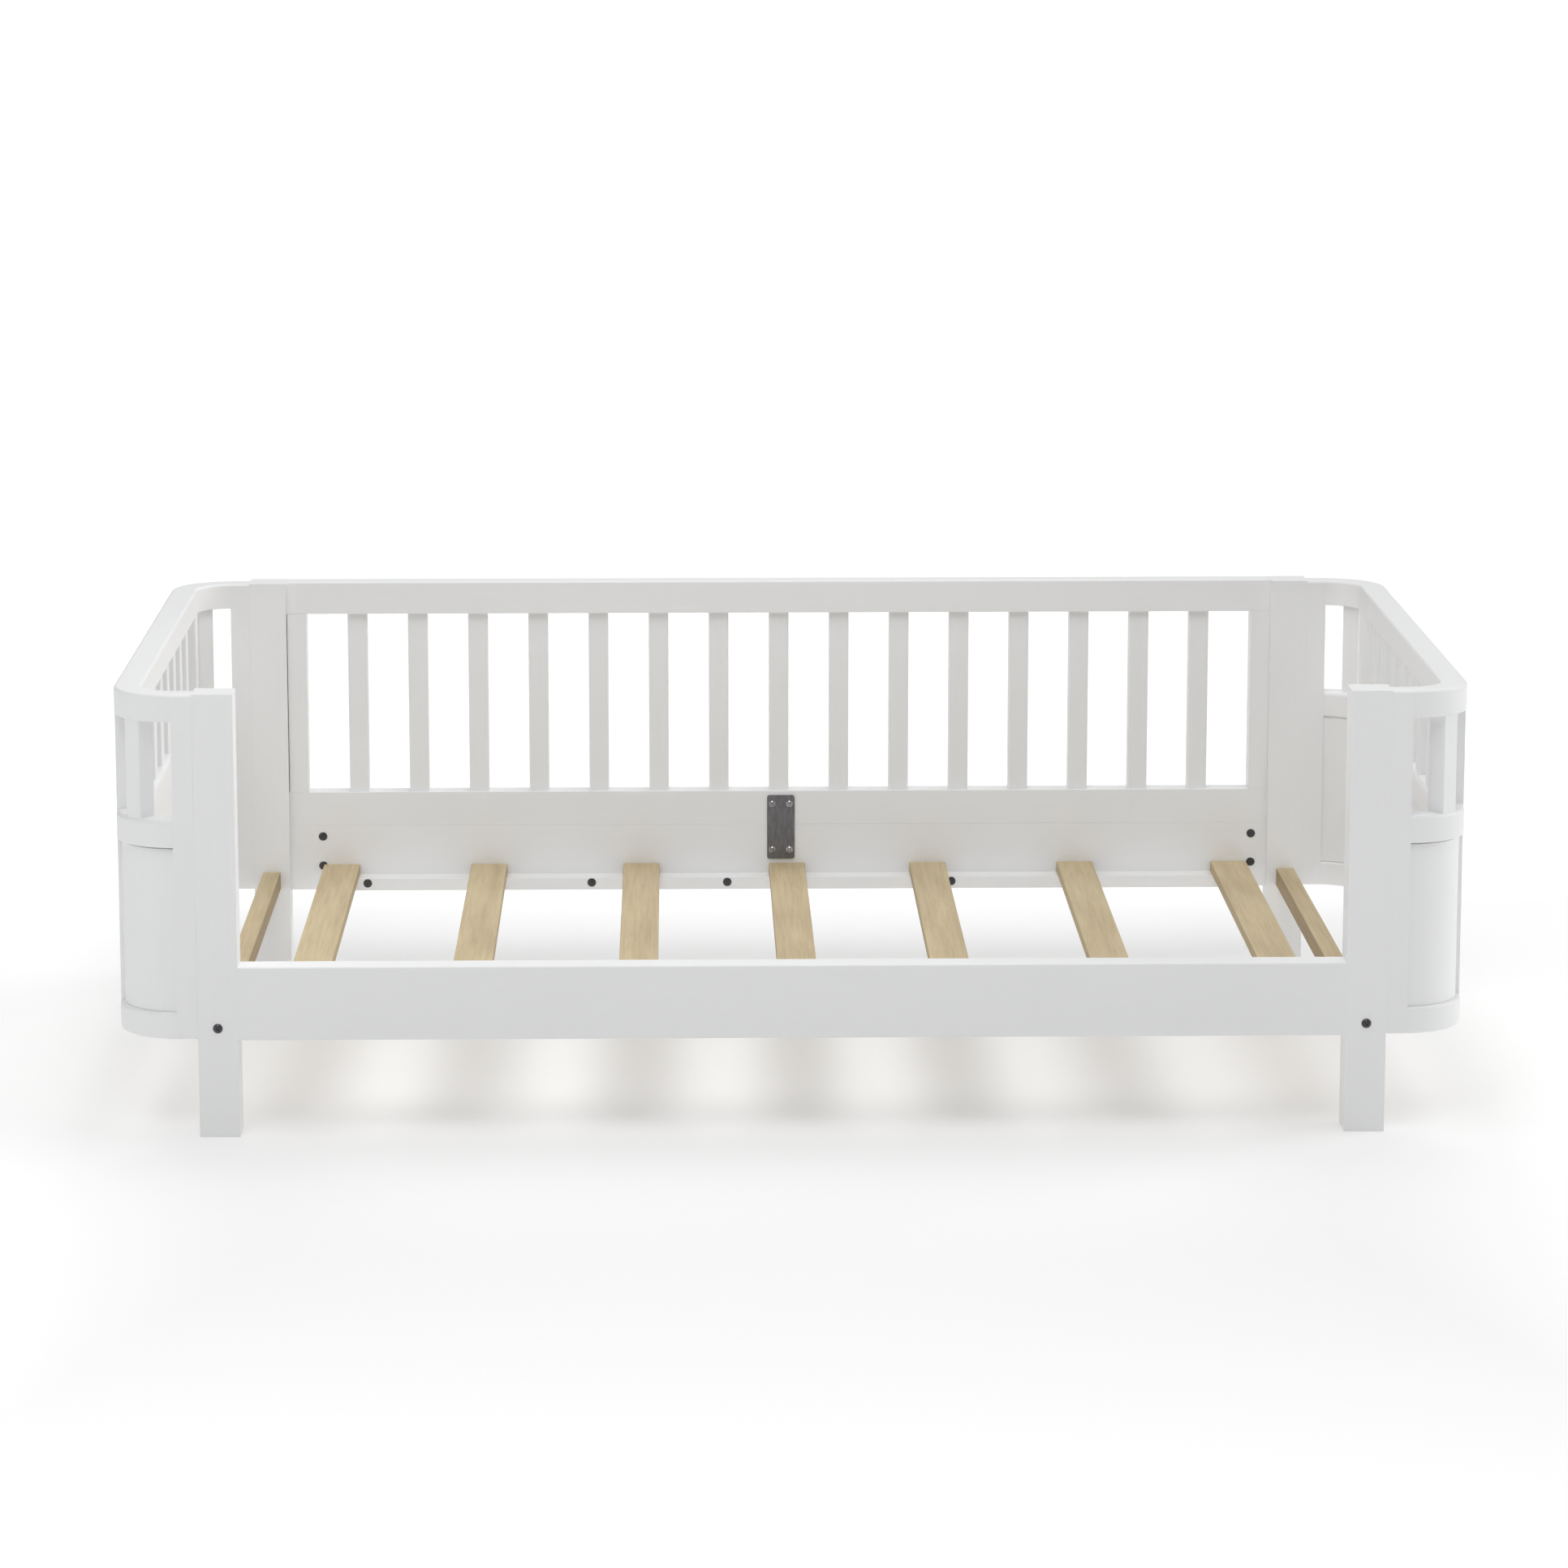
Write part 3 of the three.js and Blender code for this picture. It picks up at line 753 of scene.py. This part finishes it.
OUTLINE_STEPS = 96
DOME_STEPS = 6


def hexagon(across_flats):
    """The outline of a hex socket, as a radius for each angle."""
    def radius_at(angle):
        sector = (angle + math.pi / 6) % (math.pi / 3) - math.pi / 6
        return across_flats / 2 / math.cos(sector)
    return radius_at


def cross(arm_length, arm_width):
    """The outline of a plus-shaped recess, as a radius for each angle."""
    def radius_at(angle):
        sector = (angle + math.pi / 4) % (math.pi / 2) - math.pi / 4
        end = arm_length / math.cos(sector)
        if abs(math.tan(sector)) * arm_length <= arm_width / 2:
            return end
        return min(end, arm_width / 2 / abs(math.sin(sector)))
    return radius_at


# The kinds of fastener. A shank is given as its radius and length.
BUTTON_BOLT = {"radius": 0.0050, "height": 0.0024, "recess": hexagon(0.004), "depth": 0.0018,
               "shank": (0.0030, 0.070)}
BOARD_BOLT = {"radius": 0.0050, "height": 0.0012, "recess": hexagon(0.004), "depth": 0.0010,
              "shank": (0.0030, 0.012)}
LEDGE_BOLT = {"radius": 0.0050, "height": 0.0013, "recess": hexagon(0.003), "depth": 0.0010,
              "shank": (0.0025, 0.020)}
PLATE_SCREW = {"radius": 0.0040, "height": 0.0018, "recess": cross(0.0023, 0.0010),
               "depth": 0.0012, "shank": (0.0016, 0.014)}


def fastener_rings(radius, height, recess, depth, shank):
    """A fastener's outlines from the tip of its shank to the floor of its recess, and how high the
    middle of that floor is."""
    angles = [2 * math.pi * i / OUTLINE_STEPS for i in range(OUTLINE_STEPS)]
    shank_radius, shank_length = shank
    tip_radius = shank_radius * 0.8
    taper_start = shank_length * 0.97
    foot_radius = radius * 0.96
    foot = 0.0003
    sphere = (radius ** 2 + height ** 2) / (2 * height)
    rim = max(recess(a) for a in angles) * 1.06
    chamfer = depth * 0.15
    deepest = depth * 1.15

    def circle(r, z):
        return [(r * math.cos(a), r * math.sin(a), z) for a in angles]

    def shaped(scale, z):
        return [(recess(a) * scale * math.cos(a), recess(a) * scale * math.sin(a), z)
                for a in angles]

    rings = [circle(tip_radius, -shank_length), circle(shank_radius, -taper_start),
             circle(shank_radius, 0), circle(foot_radius, 0), circle(radius, foot)]
    for i in range(1, DOME_STEPS + 1):
        r = radius + (rim - radius) * i / DOME_STEPS
        rings.append(circle(r, foot + height - sphere * (1 - math.cos(math.asin(r / sphere)))))
    top = rings[-1][0][2]
    rings += [shaped(1.0, top), shaped(0.96, top - chamfer), shaped(0.88, top - depth)]
    return rings, top - deepest


def fastener(name, place, direction, kind, material, replaced=()):
    """A domed head with a shaped recess, on a plain shank, facing one way."""
    rings, floor_height = fastener_rings(**kind)
    bm = bmesh.new()
    loops = [[bm.verts.new(point) for point in ring] for ring in rings]
    for first, second in zip(loops, loops[1:]):
        for i in range(OUTLINE_STEPS):
            j = (i + 1) % OUTLINE_STEPS
            bm.faces.new((first[i], first[j], second[j], second[i]))
    bm.faces.new(loops[0])
    middle = bm.verts.new((0, 0, floor_height))
    for i in range(OUTLINE_STEPS):
        bm.faces.new((loops[-1][i], loops[-1][(i + 1) % OUTLINE_STEPS], middle))
    turn = Vector(direction).to_track_quat("Z", "Y").to_matrix().to_4x4()
    bmesh.ops.transform(bm, matrix=Matrix.Translation(place) @ turn, verts=bm.verts)
    finish_piece(name, smooth_mesh(name, bm, sharp_angle=30), material, replaced)


def add_crossbar_bolts(steel):
    for face, face_sign in FACES.items():
        for side in SIDES:
            node = f"crossbar_bolt_{face}_{side}"
            low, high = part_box(node)
            middle = (low + high) / 2
            post_low, post_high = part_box(f"post_{face}_{side}")
            surface = post_low.y if face == "front" else post_high.y
            fastener(f"button_bolt_{face}_{side}", (middle.x, surface, middle.z),
                     (0, face_sign, 0), BUTTON_BOLT, steel, [node])


def add_board_bolts(steel):
    """The hex-socket discs near both ends of the back board."""
    low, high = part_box("back_board")
    for name, (x, z) in BOARD_BOLTS.items():
        fastener(f"board_bolt_{name}", (x, low.y, z), (0, -1, 0), BOARD_BOLT, steel)


def add_ledge_bolts(steel):
    """The bolts through each ledge, a hand's width apart and not quite even."""
    for face, facing in (("back", -1), ("front", 1)):
        low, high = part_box(f"ledge_{face}")
        surface = low.y if face == "back" else high.y
        height = (low.z + high.z) / 2 + LEDGE_BOLT_RISE
        for number, x in enumerate(LEDGE_BOLTS, 1):
            fastener(f"ledge_bolt_{face}_{number}", (x, surface, height), (0, facing, 0),
                     LEDGE_BOLT, steel)


def add_plate_screws(steel):
    low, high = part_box("guard_plate")
    middle_x = (low.x + high.x) / 2
    rows = {"lower": low.z + PLATE_SCREW_MARGIN, "upper": high.z - PLATE_SCREW_MARGIN}
    for row, z in rows.items():
        for side, sign in SIDES.items():
            x = middle_x + sign * PLATE_SCREW_HALF_SPACING
            fastener(f"plate_screw_{row}_{side}", (x, low.y, z), (0, -1, 0), PLATE_SCREW, steel)


# ---- The whole scene ----

bpy.context.scene.view_settings.view_transform = "Standard"
add_camera()
add_world()
add_lights()
add_floor()
bolt_steel = brushed_steel("bolt_steel", BOLT_COLOR, (0.20, 0.30), metallic=0.4)
screw_steel = brushed_steel("screw_steel", SCREW_COLOR, (0.14, 0.22), metallic=0.85)
dress_frame()
add_straight_bars()
for end_side, end_number in END_NUMBERS.items():
    build_end(end_side, end_number)
add_crossbar_bolts(bolt_steel)
add_board_bolts(bolt_steel)
add_ledge_bolts(bolt_steel)
add_plate_screws(screw_steel)
